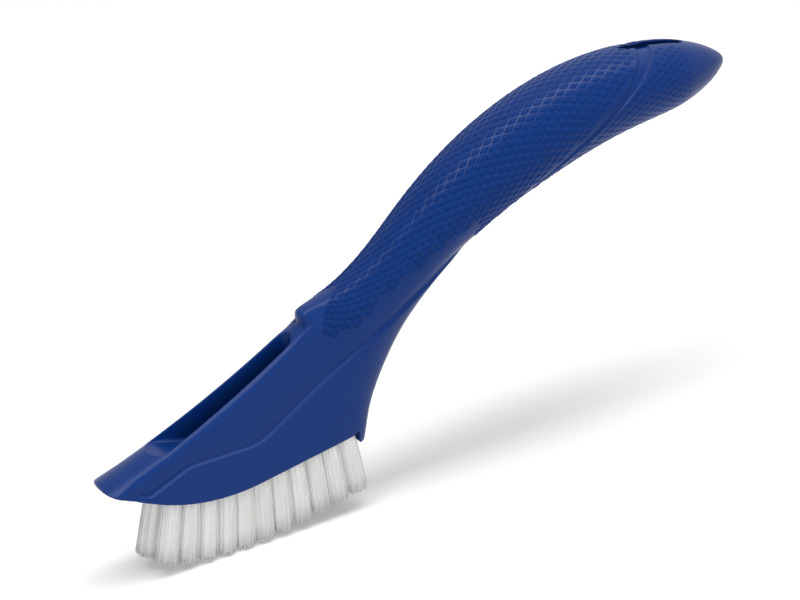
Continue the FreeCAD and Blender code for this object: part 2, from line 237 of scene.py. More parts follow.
def circleThrough(p, q, r):
    rows = np.array([[q[0] - p[0], q[1] - p[1]], [r[0] - p[0], r[1] - p[1]]]) * 2
    right = [q[0] ** 2 + q[1] ** 2 - p[0] ** 2 - p[1] ** 2, r[0] ** 2 + r[1] ** 2 - p[0] ** 2 - p[1] ** 2]
    cx, cz = np.linalg.solve(rows, right)
    return cx, cz, math.hypot(p[0] - cx, p[1] - cz)


rampX, rampCentre, rampRadius = circleThrough(*body["ramp"])
shoulderX = body["ramp"][2][0]


def rampZ(x, y):
    crown = body["crown"]
    drop = crown - np.sqrt(crown ** 2 - np.minimum(y, crown * body["crownShare"]) ** 2)
    return rampCentre - np.sqrt((rampRadius + drop) ** 2 - (x - rampX) ** 2)


def faceZ(x, reach=0.0):
    # the face that holds the tufts, or the line at a reach below it where they are trimmed
    front, rear = [math.radians(s) for s in body["faceSlopes"]]
    cx, cz = body["faceBend"]
    r = body["faceRadius"] + reach
    bend = cz - np.sqrt(np.maximum(r * r - (x - cx) ** 2, 0))
    frontX, rearX = cx - r * math.sin(front), cx + r * math.sin(rear)
    before = cz - r * math.cos(front) + (frontX - x) * math.tan(front)
    after = cz - r * math.cos(rear) + (x - rearX) * math.tan(rear)
    return np.where(x < frontX, before, np.where(x > rearX, after, bend))


def stylingLine():
    line = body["line"]
    points = [np.array([line[0][:2]])]
    for before, corner, after in zip(line, line[1:], line[2:]):
        apex = np.array(corner[:2])
        back, on = np.array(before[:2]) - apex, np.array(after[:2]) - apex
        start = apex + back / np.linalg.norm(back) * corner[2]
        end = apex + on / np.linalg.norm(on) * corner[2]
        points += [start[None], softCorner(start, apex, end, samples["lineCorner"]), end[None]]
    return np.concatenate(points + [np.array([line[-1][:2]])])


linePoints = stylingLine()


def lineZ(x):
    return np.interp(x, linePoints[:, 0], linePoints[:, 1])


def proudness(x, z):
    # the panel below the styling line stands proud, and the flank just above it is drawn in
    (front, frontOver), (rear, rearOver) = body["lineFade"]
    fade = softStep((x - front) / frontOver) * (1 - softStep((x - rear) / rearOver))
    above = z - lineZ(x)
    panel = np.clip(0.5 - above / (2 * body["stepHalf"]), 0, 1)
    drawnIn = body["drawnIn"] * np.exp(-np.maximum(above, 0) / body["drawnInOver"])
    return fade * (body["proud"] * panel - drawnIn * (1 - panel))


def flankY(x, z):
    # the flank, closed in front by a nose that is nearly flat with soft corners
    back = np.clip(1 - (x - body["noseX"]) / body["noseDepth"], 0, 1)
    nose = (1 - back ** body["noseSquare"]) ** (1 / body["noseSquare"])
    return halfWidth(x, z, proudness(x, z)) * nose


def line3(*points):
    return np.array(points, float)


def flankPieces(line, upTo):
    # lower flank, step and upper flank of a ring, split where the styling line crosses it
    run = runAlong(line[:, [0, 2]])
    end = run[upTo - 1]
    cross = np.interp(0, (line[:, 2] - lineZ(line[:, 0]))[:upTo], run[:upTo])
    least, most = body["lineShare"]
    if end < body["lineShareUnder"]:
        cross = min(max(cross, least * end), most * end)
    else:
        cross = max(cross, body["lineLeast"])
    half = min(body["stepHalf"], body["stepShare"] * end)
    lower = pointsAt(np.linspace(0, cross - half, samples["piece"]), run, line)
    upper = pointsAt(np.linspace(cross + half, end, samples["piece"]), run, line)
    step = pointsAt(cross + half * np.linspace(-1, 1, columns["step"] + 2)[1:-1], run, line)
    return lower, step, upper


def joinRing(pieces, rounds):
    # bottom, lower, step, upper, land, wall and floor pieces with soft corners between them
    bottom, lower, step, upper, land, wall, floor = pieces
    corner, ridge, lip, bowl = rounds
    setbacks = {"bottom": (0, corner), "lower": (corner, 0), "upper": (0, ridge), "land": (ridge, lip),
                "wall": (lip, bowl), "floor": (bowl, 0)}
    bottomT, lowerT, upperT, landT, wallT, floorT = [
        resample(piece, np.linspace(0, 1, columns[name]), *setbacks[name])
        for name, piece in zip(setbacks, (bottom, lower, upper, land, wall, floor))]
    return np.concatenate([
        bottomT, softCorner(bottomT[-1], lower[0], lowerT[0], columns["corner"]), lowerT, step, upperT,
        softCorner(upperT[-1], land[0], landT[0], columns["ridge"]), landT,
        softCorner(landT[-1], wall[0], wallT[0], columns["lip"]), wallT,
        softCorner(wallT[-1], floor[0], floorT[0], columns["bowl"]), floorT])


def scoopZ(x):
    # floor of the pocket: a shallow dish in front that turns down into the scoop
    radius, soft = body["scoopRadius"], body["dishSoft"]
    rise = np.sqrt(np.maximum(radius ** 2 - np.minimum(x - body["scoopX"], 0) ** 2, 0))
    scoop = body["pocketFloor"] + radius - rise
    dish = rampZ(x, 0) - body["dishSlope"] * (x - body["pocketFront"])
    mix = np.maximum(soft - np.abs(dish - scoop), 0) / soft
    return np.minimum(dish, scoop) - mix * mix * soft / 4


scoopRange = np.linspace(body["pocketFront"], body["scoopX"], samples["scoop"])
pocketFront = scoopRange[np.argmax(scoopZ(scoopRange) < rampZ(scoopRange, 0))]


def pocketHalf(x):
    # half width of the pocket's mouth: round in plan at both ends, and pinched in front where the dish runs out
    wide, slim = body["pocketHalf"]
    corner, rear = body["pocketCorner"], body["pocketRear"]
    side = np.interp(x, (body["pocketFront"] + corner, rear - slim), (wide, slim))
    front = np.clip((x - body["pocketFront"]) / corner, 0, 1)
    back = np.clip((rear - x) / slim, 0, 1)
    depth = np.clip(rampZ(x, 0) - scoopZ(x), 0, body["crown"])
    mouth = np.sqrt(body["crown"] ** 2 - (body["crown"] - depth) ** 2)
    frontRound = side - corner * (1 - np.sqrt(1 - (1 - front) ** 2))
    return np.minimum(frontRound * np.sqrt(1 - (1 - back) ** 2), mouth)


def landTilt(x, share):
    # the rims beside the pocket lean outwards
    ahead, over, rearOver = body["landTiltRuns"]
    closing = softStep((x - body["pocketRear"] + rearOver) / rearOver)
    edge, ridge = body["landTilt"]
    return softStep((x - pocketFront + ahead) / over) * (1 - closing) * (ridge + (edge - ridge) * share)


def headRing(x):
    # an upright ring of the head, with the pocket where there is one
    count, landCount, floorCount = samples["flank"], samples["land"], samples["floor"]
    rear, narrowest = body["pocketRear"], body["narrowest"]
    zs = np.linspace(faceZ(x), rampZ(x, 0) + body["overshoot"], count)
    xs = np.full(count, x)
    ys = flankY(xs, zs)
    upTo = int(np.interp(0, zs - rampZ(xs, ys), np.arange(count))) + 1
    lower, step, upper = flankPieces(np.stack([xs, ys, zs], axis=1), upTo)
    ridgeY = ys[upTo - 1]
    upper[-1] = x, ridgeY, rampZ(x, ridgeY) + landTilt(x, 0)
    half = max(float(pocketHalf(x)), min(narrowest, ridgeY / 2))
    if x > rear:
        half = max(body["tongueHalf"][0] * softStep((x - rear) / (shoulderX - rear)), narrowest)
    landY = np.linspace(ridgeY, min(half, ridgeY), landCount)
    landZ = rampZ(x, landY) + landTilt(x, np.linspace(0, 1, landCount))
    land = np.stack([np.full(landCount, x), landY, landZ], axis=1)
    if pocketFront < x < rear:
        low = min(scoopZ(x), land[-1][2])
        foot = half * (1 - body["pocketDraft"] * (land[-1][2] - low))
        wall = line3(land[-1], (x, foot, low))
        floor = line3((x, foot, low), (x, 0, low))
    else:
        floorY = np.linspace(half, 0, floorCount)
        wall = line3(land[-1], land[-1])
        floor = np.stack([np.full(floorCount, x), floorY, rampZ(x, floorY)], axis=1)
    bottom = line3((x, 0, zs[0]), (x, ys[0], zs[0]))
    bowl = np.interp(x, (pocketFront, pocketFront + body["bowlRun"]), body["bowlRound"])
    slim = (zs[upTo - 1] - zs[0]) * body["slimRound"]
    rounds = (min(body["cornerRound"], slim), min(body["ridgeRound"], slim), body["lipRound"], bowl)
    return joinRing((bottom, lower, step, upper, land, wall, floor), rounds)


def ringLine(foot, knee, crest):
    shares = 1 - (1 - np.linspace(0, 1, samples["neck"])) ** samples["neckBunch"]
    line = resample(line3((foot[0], 0, foot[1]), (knee[0], 0, knee[1]), (crest[0], 0, crest[1])), shares)
    return line[:, 0], line[:, 2]


def evenShares(count, middle, weight):
    # shares along a line: bunched where the recess closed, turning even as the weight grows
    first = columns["upper"]
    last = columns["bowl"] + columns["floor"]
    bunched = np.concatenate([np.linspace(0, middle, first), np.full(count - first - last, middle),
                              np.linspace(middle, 1, last + 1)[1:]])
    return bunched * (1 - weight) + np.linspace(0, 1, count) * weight


upperCount = sum(columns[k] for k in ("upper", "ridge", "land", "lip", "wall", "bowl", "floor"))
lowerCount = sum(columns[k] for k in ("bottom", "corner", "lower"))


def neckRing(foot, knee, crest, rise, state):
    # a leaning ring of the neck, with the tongue standing over the ramp until the two meet
    count, search, landCount = samples["neck"], samples["neckSearch"], samples["neckLand"]
    xs, zs = ringLine(foot, knee, crest)
    ys = flankY(xs, zs)
    ys[-1] = 0
    line = np.stack([xs, ys, zs], axis=1)
    over = np.where(zs > body["tongueLow"], zs - rampZ(xs, ys), -1)
    upTo = int(np.interp(0, over[:search], np.arange(search))) + 1
    edgeX, edgeY = xs[upTo - 1], ys[upTo - 1]
    half = np.interp((edgeX - shoulderX) / body["tongueLength"], (0, 1), body["tongueHalf"])
    bottom = line3((foot[0], 0, foot[1]), (foot[0], ys[0], foot[1]))
    corner = min(body["cornerRound"], ys[0] / 2)
    if half < edgeY - body["tongueLeast"] and not state["closed"]:
        lower, step, upper = flankPieces(line, upTo)
        landY = np.linspace(edgeY, half, landCount)
        landX = np.full(landCount, edgeX)
        for _ in range(3):
            landZ = rampZ(landX, landY)
            landX = np.interp(landZ, zs, xs)
        land = np.stack([landX, landY, landZ], axis=1)
        upper[-1] = land[0]
        crestTop = int(np.interp(-half, -ys[upTo - 1:], np.arange(upTo - 1, count)))
        floor = np.stack([xs[crestTop:], np.minimum(ys[crestTop:], half), zs[crestTop:]], axis=1)
        base = rampZ(floor[:, 0], floor[:, 1])
        floor[:, 2] = base + (floor[:, 2] - base) * rise
        if rise < 1:
            tip = softStep((rise - body["tongueTip"]) / (1 - body["tongueTip"]))
            bow = body["tongueBow"] * (1 - body["tongueBowEase"] * tip)
            floor[:, 0] = shoulderX + body["tongueRound"] * (1 - math.sqrt(1 - tip ** 2))
            floor[:, 0] += bow * (floor[:, 1] / half) ** 2
        wall = line3(land[-1], floor[0])
        run = runAlong(line)
        cross = np.interp(0, (zs - lineZ(xs))[:upTo], run[:upTo])
        state["middle"] = (run[upTo - 1] - cross) / (run[-1] - cross)
        ridge, lip, bowl, bowlRise = body["tongueRounds"]
        rounds = (corner, ridge, lip, bowl * min(1, rise * bowlRise))
        return joinRing((bottom, lower, step, upper, land, wall, floor), rounds)
    state["closed"] += 1
    lower, step, upper = flankPieces(line, count)
    upper[-1] = xs[-1], 0, zs[-1]
    bottomT = resample(bottom, np.linspace(0, 1, columns["bottom"]), 0, corner)
    lowerT = resample(lower, np.linspace(0, 1, columns["lower"]), corner, 0)
    weight = softStep(state["closed"] / columns["evenOver"])
    return np.concatenate([bottomT, softCorner(bottomT[-1], lower[0], lowerT[0], columns["corner"]), lowerT, step,
                           resample(upper, evenShares(upperCount, state["middle"], weight))])


def slotHalf(x):
    half = body["slotHalf"]
    reach = np.clip(np.abs(x - body["slotMiddle"]) - (body["slotHalfLength"] - half), 0, half)
    return np.sqrt(half ** 2 - reach ** 2)


def rimmedEnd(line, count, down):
    # a line that ends at the slot's edge, with a soft rim turned into the slot, or none where there is no slot
    gap = line[:, 1] - slotHalf(line[:, 0])
    hole = slotHalf(line[-1, 0])
    if hole < 1e-3:
        return None
    cut = np.argmax(gap < 0)
    share = gap[cut - 1] / (gap[cut - 1] - gap[cut])
    edge = line[cut - 1] + (line[cut] - line[cut - 1]) * share
    kept = np.concatenate([line[:cut], edge[None]])
    rim = min(body["slotRound"], hole)
    skin = resample(kept, np.linspace(0, 1, count - columns["slotRim"] - 2), 0, rim)
    low = edge + np.array([0, 0, -rim * down])
    wall = low + np.array([0, 0, -body["slotWall"] * down])
    return np.concatenate([skin, softCorner(skin[-1], edge, low, columns["slotRim"]), low[None], wall[None]])


capAngle = samples["capAngle"]
ringAngles = np.concatenate([np.linspace(-math.pi / 2, -capAngle, samples["cap"])[:-1],
                             np.linspace(-capAngle, capAngle, samples["round"]),
                             np.linspace(capAngle, math.pi / 2, samples["cap"])[1:]])


def gripRing(run, index, state):
    # a ring square to the grip, open where the hang slot goes through
    row = formAt(np.array([run]))
    plain = sectionPoints(row, 0, ringAngles)
    line = sectionPoints(row, proudness(plain[:, 0], plain[:, 2]), ringAngles)
    line[0, 1] = line[-1, 1] = 0
    length = runAlong(line)
    over = line[:, 2] - lineZ(line[:, 0])
    cross = np.interp(0, over, length) if over[0] < 0 else 0.0
    cross = max(cross, body["gripLineShare"] * length[-1])
    half = min(body["stepHalf"], body["gripStepShare"] * length[-1])
    lower = pointsAt(np.linspace(0, cross - half, samples["gripLower"]), length, line)
    upper = pointsAt(np.linspace(cross + half, length[-1], samples["gripUpper"]), length, line)
    step = pointsAt(np.linspace(cross - half, cross + half, columns["step"] + 2), length, line)[1:-1]
    weight = softStep(index / columns["lowEvenOver"])
    lowShares = np.concatenate([np.zeros(lowerCount - columns["lower"]), np.linspace(0, 1, columns["lower"])])
    lowShares = lowShares * (1 - weight) + np.linspace(0, 1, lowerCount) * weight
    state["closed"] += 1
    upShares = evenShares(upperCount, state["middle"], softStep(state["closed"] / columns["evenOver"]))
    lowRim = rimmedEnd(lower[::-1], lowerCount, -1)
    highRim = rimmedEnd(upper, upperCount, 1)
    lowPart = resample(lower, lowShares) if lowRim is None else lowRim[::-1]
    highPart = resample(upper, upShares) if highRim is None else highRim
    return np.concatenate([lowPart, step, highPart])


def heelPath():
    # side-view line under the heel and up its rear, with where each ring bends and where it ends on top
    count, faceCount = samples["heel"], samples["face"]
    start, end = body["faceEnds"]
    lipX, lipZ, lipCorner = body["lipX"], body["lipZ"], body["lipCorner"]
    notchZ, notchCorner, kneeZ = body["notchZ"], body["notchCorner"], body["kneeZ"]
    rows = formAt(np.linspace(neckRun, gripRun, count))
    under = sectionPoints(rows, body["proud"], np.full(count, -math.pi / 2))
    over = sectionPoints(rows, 0, np.full(count, math.pi / 2))
    first = np.argmax(under[:, 2] > lipZ)
    rear = under[first:, [0, 2]]
    rear = np.concatenate([[[rear[0, 0], lipZ]], rear])
    faceX = np.linspace(start, end, faceCount)
    notch = (lipX - body["notchIn"][0], notchZ - body["notchIn"][1])
    path = np.concatenate([
        np.stack([faceX, faceZ(faceX)], axis=1), [notch],
        softCorner(notch, (lipX, notchZ), (lipX, notchZ - notchCorner), samples["notchCorner"]),
        [[lipX, notchZ - notchCorner], [lipX, lipZ + lipCorner]],
        softCorner((lipX, lipZ + lipCorner), (lipX, lipZ), (lipX + lipCorner, lipZ), samples["lipCorner"]),
        [[lipX + lipCorner, lipZ]], rear])
    length = runAlong(path)
    rearLength = length[-len(rear):]
    wallEnd = np.interp(lipX + 1e-6, path[:, 0], length)
    atHeel, atNotch, atLip, atRear = body["kneeIn"]
    kneeX = ([0, length[faceCount - 1], length[faceCount], wallEnd, rearLength[0],
              np.interp(kneeZ, rear[:, 1], rearLength)],
             [start, end - atHeel, lipX - atNotch, lipX + atLip, rear[0, 0] + atLip,
              np.interp(kneeZ, rear[:, 1], rear[:, 0]) - atRear])
    return path, length, kneeX, over


# Where the rings stand, in counts and in mm: closer together where the form turns quickly
ringStops = {
    "nose": 20, "noseBunch": 1.2, "rampFirst": 0.5, "rampLast": 1.3, "rampStep": 0.6, "beforePocket": (0.7, 0.2),
    "pocketGap": 0.02, "pocketRun": 7, "pocketFront": 20, "sideFirst": 1.2, "sideLast": 4.5, "sideStep": 1.5,
    "rearRun": 3.4, "pocketRear": 14, "behindPocket": (0.15, 0.5, 1.0, 1.6, 2.1), "beforeShoulder": 0.15,
    "tongueRises": (0.0, 0.12, 0.35, 0.6, 0.75, 0.86, 0.94, 0.98), "tongueCrest": (0.01, 0.12),
    "neckCrest": (0.2, 0.8), "heel": (18, 26, 24), "gripStep": 0.9, "gripLast": 2.5, "tailRun": 2.4, "tail": 12,
    "tailBunch": 1.6, "middle": 0.9,
}


def headStops():
    r = ringStops
    rear = body["pocketRear"]

    def quarter(count):
        return np.linspace(0, math.pi / 2, count)
    stops = [body["noseX"] + body["noseDepth"] * (1 - math.cos(a)) ** r["noseBunch"] for a in quarter(r["nose"])]
    stops += list(np.arange(stops[-1] + r["rampFirst"], pocketFront - r["rampLast"], r["rampStep"]))
    stops += [pocketFront - gap for gap in r["beforePocket"]]
    stops += [pocketFront + r["pocketGap"] + r["pocketRun"] * (1 - math.cos(a)) for a in quarter(r["pocketFront"])]
    stops += list(np.arange(stops[-1] + r["sideFirst"], rear - r["sideLast"], r["sideStep"]))
    stops += [rear - r["rearRun"] + r["rearRun"] * math.sin(a) for a in quarter(r["pocketRear"])]
    return stops + [rear + gap for gap in r["behindPocket"]] + [shoulderX - r["beforeShoulder"]]


def bodyRings():
    r = ringStops
    rings = [headRing(x) for x in headStops()]
    path, length, kneeX, over = heelPath()
    state = {"closed": 0, "middle": r["middle"]}
    rises = r["tongueRises"]
    marks = (0, kneeX[0][1], kneeX[0][4], length[-1])
    edgeStops = np.unique(np.concatenate([np.linspace(*span) for span in zip(marks, marks[1:], r["heel"])]))
    for k, place in enumerate(edgeStops[:-1]):
        foot = [np.interp(place, length, path[:, i]) for i in (0, 1)]
        knee = (np.interp(place, *kneeX), body["kneeZ"])
        if foot[1] >= body["kneeZ"]:
            knee = foot[0] - body["kneeLeast"][0], foot[1] + body["kneeLeast"][1]
        rise, (crest, crestOver), share = 1.0, r["neckCrest"], (k - len(rises)) / (len(edgeStops) - 1 - len(rises))
        if k < len(rises):
            rise, (crest, crestOver), share = rises[k], r["tongueCrest"], k / len(rises)
        top = over[int((crest + crestOver * share) * (samples["heel"] - 1))]
        rings.append(neckRing(foot, knee, (top[0], top[2]), rise, state))
    runs = np.arange(gripRun, stationRun[-1] - r["gripLast"], r["gripStep"])
    tail = r["tailRun"] * (1 - np.linspace(0, 1, r["tail"])) ** r["tailBunch"]
    for index, run in enumerate(np.concatenate([runs, stationRun[-1] - tail])):
        rings.append(gripRing(run, index, state))
    return np.array(rings)


def pieceObject(name, bm, material):
    bmesh.ops.scale(bm, vec=(mm, mm, mm), verts=bm.verts)
    mesh = bpy.data.meshes.new(name)
    bm.to_mesh(mesh)
    bm.free()
    piece = bpy.data.objects.new(name, mesh)
    bpy.context.scene.collection.objects.link(piece)
    piece.data.materials.append(material)
    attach(piece, "root")
    return piece


# Groove across the tail (side view, mm), a shallow band that narrows towards the underside
tailGroove = {"top": (77.53, 121.0), "mid": (55.03, 103.6), "foot": (19.53, 78.5), "topWidth": 3.2,
              "footWidth": 0.6, "footShare": -0.02, "depth": 0.6, "edge": 0.24, "startX": 12.0, "reach": 0.9,
              "cuts": 3, "slotGap": 0.02}
grooveX, grooveCentre, grooveRadius = circleThrough(tailGroove["top"], tailGroove["mid"], tailGroove["foot"])


def grooveDepth(x, z):
    # 0 outside the band to 1 on its floor, and how far a point stands outside the band
    g = tailGroove
    span = (g["top"][0] - g["foot"][0], g["top"][1] - g["foot"][1])
    along = ((x - g["foot"][0]) * span[0] + (z - g["foot"][1]) * span[1]) / (span[0] ** 2 + span[1] ** 2)
    width = g["footWidth"] + (g["topWidth"] - g["footWidth"]) * np.clip(along, 0, 1)
    away = np.hypot(x - grooveX, z - grooveCentre) - grooveRadius
    inside = np.where(along > g["footShare"], np.minimum(away, width - away), -9.0)
    return softStep(inside / g["edge"] + 0.5), -inside


def ontoForm(places):
    # nearest way onto the grip's skin, sunk where the groove runs
    x, y, z = places.T
    row = formAt(runOf(x, z))
    tilt = np.radians(row[:, 2])
    along = (np.cos(tilt) * (z - row[:, 1]) - np.sin(tilt) * (x - row[:, 0])) / row[:, 3]
    across = np.abs(y) / (row[:, 4] * (1 + row[:, 5] * along))
    size = (np.abs(along) ** row[:, 6] + across ** row[:, 6]) ** (1 / row[:, 6])
    sink = grooveDepth(x, z)[0] * tailGroove["depth"]
    rise = (row[:, 3] - sink) * along / size
    return np.stack([row[:, 0] - np.sin(tilt) * rise,
                     (row[:, 4] - sink) * (1 + row[:, 5] * along / size) * across / size,
                     row[:, 1] + np.cos(tilt) * rise], axis=1)


def cutGroove(bm):
    # finer faces along the band, put onto the skin again or onto the band's floor
    g = tailGroove
    near = []
    for face in bm.faces:
        co = np.array([v.co for v in face.verts])
        if co[:, 0].min() > g["startX"] and co[:, 1].min() > 0:
            if grooveDepth(co[:, 0], co[:, 2])[1].min() < g["reach"]:
                near.append(face)
    edges = list({e for f in near for e in f.edges})
    made = bmesh.ops.subdivide_edges(bm, edges=edges, cuts=g["cuts"], use_grid_fill=True)
    verts = list({v for f in near if f.is_valid for v in f.verts} |
                 {v for v in made["geom_inner"] if isinstance(v, bmesh.types.BMVert)})
    verts = [v for v in verts if v.co.y > slotHalf(v.co.x) + g["slotGap"]
             or abs(v.co.x - body["slotMiddle"]) > body["slotHalfLength"]]
    places = np.array([v.co for v in verts])
    for vert, place, old in zip(verts, ontoForm(places), places):
        vert.co = (place[0], place[1] if old[1] > 1e-6 else 0.0, place[2])


# Distances in mm under which points are one, and under which a face is a sliver
welding = {"weld": 0.002, "sliver": 0.0005}


def makeBody(material):
    # the near half as a grid of rings, mirrored, with the hang slot's wall between its two rims
    rings = bodyRings()
    bm = bmesh.new()
    bmesh.ops.create_grid(bm, x_segments=rings.shape[1] - 1, y_segments=rings.shape[0] - 1, size=1.0)
    bm.verts.ensure_lookup_table()
    print("body rings", rings.shape, "grid", len(bm.verts))
    for vert, place in zip(bm.verts, rings.reshape(-1, 3)):
        vert.co = place
    bmesh.ops.remove_doubles(bm, verts=bm.verts, dist=welding["weld"])
    bmesh.ops.dissolve_degenerate(bm, dist=welding["sliver"], edges=bm.edges)
    cutGroove(bm)
    bmesh.ops.mirror(bm, geom=bm.verts[:] + bm.edges[:] + bm.faces[:], axis="Y", merge_dist=welding["weld"])
    bmesh.ops.remove_doubles(bm, verts=bm.verts, dist=welding["weld"])
    rims = [e for e in bm.edges if len(e.link_faces) == 1]
    print("open edges before the slot wall", len(rims))
    bmesh.ops.bridge_loops(bm, edges=rims)
    bmesh.ops.recalc_face_normals(bm, faces=bm.faces)
    for face in bm.faces:
        face.smooth = True
    print("open edges", sum(len(e.link_faces) != 2 for e in bm.edges), "volume", bm.calc_volume())
    return pieceObject("brushBody", bm, material)


# Grip pads: a staggered lattice of raised diamonds that follows the skin of the grip (mm, turns in radians)
gripPads = {"turn": 0.196, "periods": ((34, 59, 85), (5.4, 4.7, 4.4)), "perSide": 17, "first": 5.0,
            "crestFirst": 34.0, "crestTurn": 1.1, "lastX": 97.0, "underGap": 0.45, "grooveGap": 0.9, "slotGap": 2.2,
            "height": 0.3, "tailHeight": 0.13, "heightX": (0, 75), "tailFade": 14, "neckFade": (2, 6),
            "sunk": 0.06, "shrink": 0.9, "grid": 4,
            "lower": ((-40, -37.5, -35, -29.6, -25, -21.1, -15.8, -6.9, 4.1, 13),
                      (60.6, 59.2, 58.5, 59.0, 60.9, 65.3, 68.4, 73.3, 79.6, 83.0))}


def padRows():
    p = gripPads
    place, index = p["first"], 0
    while place < stationRun[-1] - neckRun:
        period = float(np.interp(place, *p["periods"]))
        yield index, place + neckRun, period
        place += period / 2
        index += 1


def padHeight(run, fromTop):
    # how high a pad stands, or 0 where there is none
    p = gripPads
    fromNeck = run - neckRun
    if fromTop + p["turn"] / 2 > math.pi - p["underGap"]:
        return 0
    if fromNeck < np.interp(fromTop, (0, p["crestTurn"]), (p["crestFirst"], p["first"])):
        return 0
    x, y, z = sectionPoints(formAt(np.array([run])), 0, np.array([math.pi / 2 - fromTop]))[0]
    if x > p["lastX"] or x < p["lower"][0][-1] and z < np.interp(x, *p["lower"]):
        return 0
    if grooveDepth(x, z)[1] < p["grooveGap"] or y < slotHalf(x) + p["slotGap"] and slotHalf(x) > 0:
        return 0
    high = np.interp(x, p["heightX"], (p["height"], p["tailHeight"]))
    ahead, over = p["neckFade"]
    return high * softStep((p["lastX"] - x) / p["tailFade"]) * softStep((fromNeck - p["first"] + ahead) / over)


def makePads(material):
    p = gripPads
    bm = bmesh.new()
    share = np.linspace(-1, 1, p["grid"] + 1)
    u, v = [k.ravel() for k in np.meshgrid(share, share)]
    pillow = (1 - u ** 4) * (1 - v ** 4)
    count = 0
    for index, run, period in padRows():
        for j in range(p["perSide"]):
            fromTop = (j + (index % 2) / 2) * p["turn"]
            high = padHeight(run, fromTop)
            if not high:
                continue
            runs = run + (u + v) / 4 * period * p["shrink"]
            angles = math.pi / 2 - fromTop + (u - v) / 4 * p["turn"] * p["shrink"]
            places = sectionPoints(formAt(runs), high * pillow - p["sunk"], angles)
            places[:, 1] *= np.sign(np.cos(angles))
            for side in (1, -1) if fromTop else (1,):
                made = bmesh.ops.create_grid(bm, x_segments=p["grid"], y_segments=p["grid"], size=1.0)["verts"]
                for vert, place in zip(made, places):
                    vert.co = (place[0], place[1] * side, place[2])
                count += 1
    print("grip pads", count)
    bmesh.ops.holes_fill(bm, edges=[e for e in bm.edges if e.is_boundary], sides=0)
    bmesh.ops.recalc_face_normals(bm, faces=bm.faces)
    for face in bm.faces:
        face.smooth = True
    return pieceObject("gripPads", bm, material)


# Bristle tufts (mm): nylon filaments folded into each hole, flared and trimmed to a ragged line. Real filaments
# are 0.2 mm thick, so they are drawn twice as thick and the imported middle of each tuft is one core
tufts = {"perRow": 11, "pitch": 5.66, "firstX": -91.5, "rowY": 4.2, "splay": 2.5, "fanX": -53.1, "fanRadius": 169.0,
         "length": 19.0, "filaments": 200, "filamentRadius": 0.2, "filamentSides": 4, "filamentTaper": 0.9,
         "filamentCuts": 3, "rootRadius": 2.7, "tipRadius": 3.4, "bulge": 0.4, "bulgePower": 0.6, "buried": 2.5,
         "foldShare": 0.1, "trimTries": 6, "goldenAngle": 2.39996, "turnStray": 0.25, "flareStray": (0.97, 1.08),
         "tipStray": 0.06, "sway": 0.06, "levels": 0.35, "ragged": 0.55, "edgeShort": 0.25,
         "coreSpread": 0.96, "coreShort": 1.5, "coreSides": 20, "coreTone": 0.5}


def strandTemplate(bm, sides):
    # strand of unit length along Z, whose rings are put in place later
    first, firstEdge = len(bm.verts), len(bm.edges)
    bmesh.ops.create_cone(bm, cap_ends=True, segments=sides, radius1=1.0, radius2=tufts["filamentTaper"], depth=1.0,
                          matrix=Matrix.Translation((0, 0, 0.5)))
    bm.edges.ensure_lookup_table()
    long = [e for e in bm.edges[firstEdge:] if abs(e.verts[0].co.z - e.verts[1].co.z) > 0.5]
    bmesh.ops.subdivide_edges(bm, edges=long, cuts=tufts["filamentCuts"])
    bm.verts.ensure_lookup_table()
    return bm.verts[first:]


def strandLine(root, heading, out, spread, flare, shorter):
    # where a strand is folded in its hole, where it leaves the face and where it is trimmed
    t = tufts
    fold = root - heading * t["buried"] + out * spread * t["rootRadius"]
    foot = root + out * spread * t["rootRadius"]
    leaf = (heading * t["length"] + out * (flare - spread * t["rootRadius"])).normalized()
    reach = t["length"]
    for _ in range(t["trimTries"]):
        tip = foot + leaf * reach
        reach += (tip.z - float(faceZ(tip.x, t["length"]))) / -leaf.z
    return fold, foot, foot + leaf * (reach - shorter)


def strandPoint(line, share, out, spread, sway):
    t = tufts
    fold, foot, tip = line
    if share < t["foldShare"]:
        return fold
    along = (share - t["foldShare"]) / (1 - t["foldShare"])
    bulge = out * (t["bulge"] * spread * math.sin(math.pi * along ** t["bulgePower"]))
    return foot.lerp(tip, along) + sway * math.sin(math.pi * share) + bulge


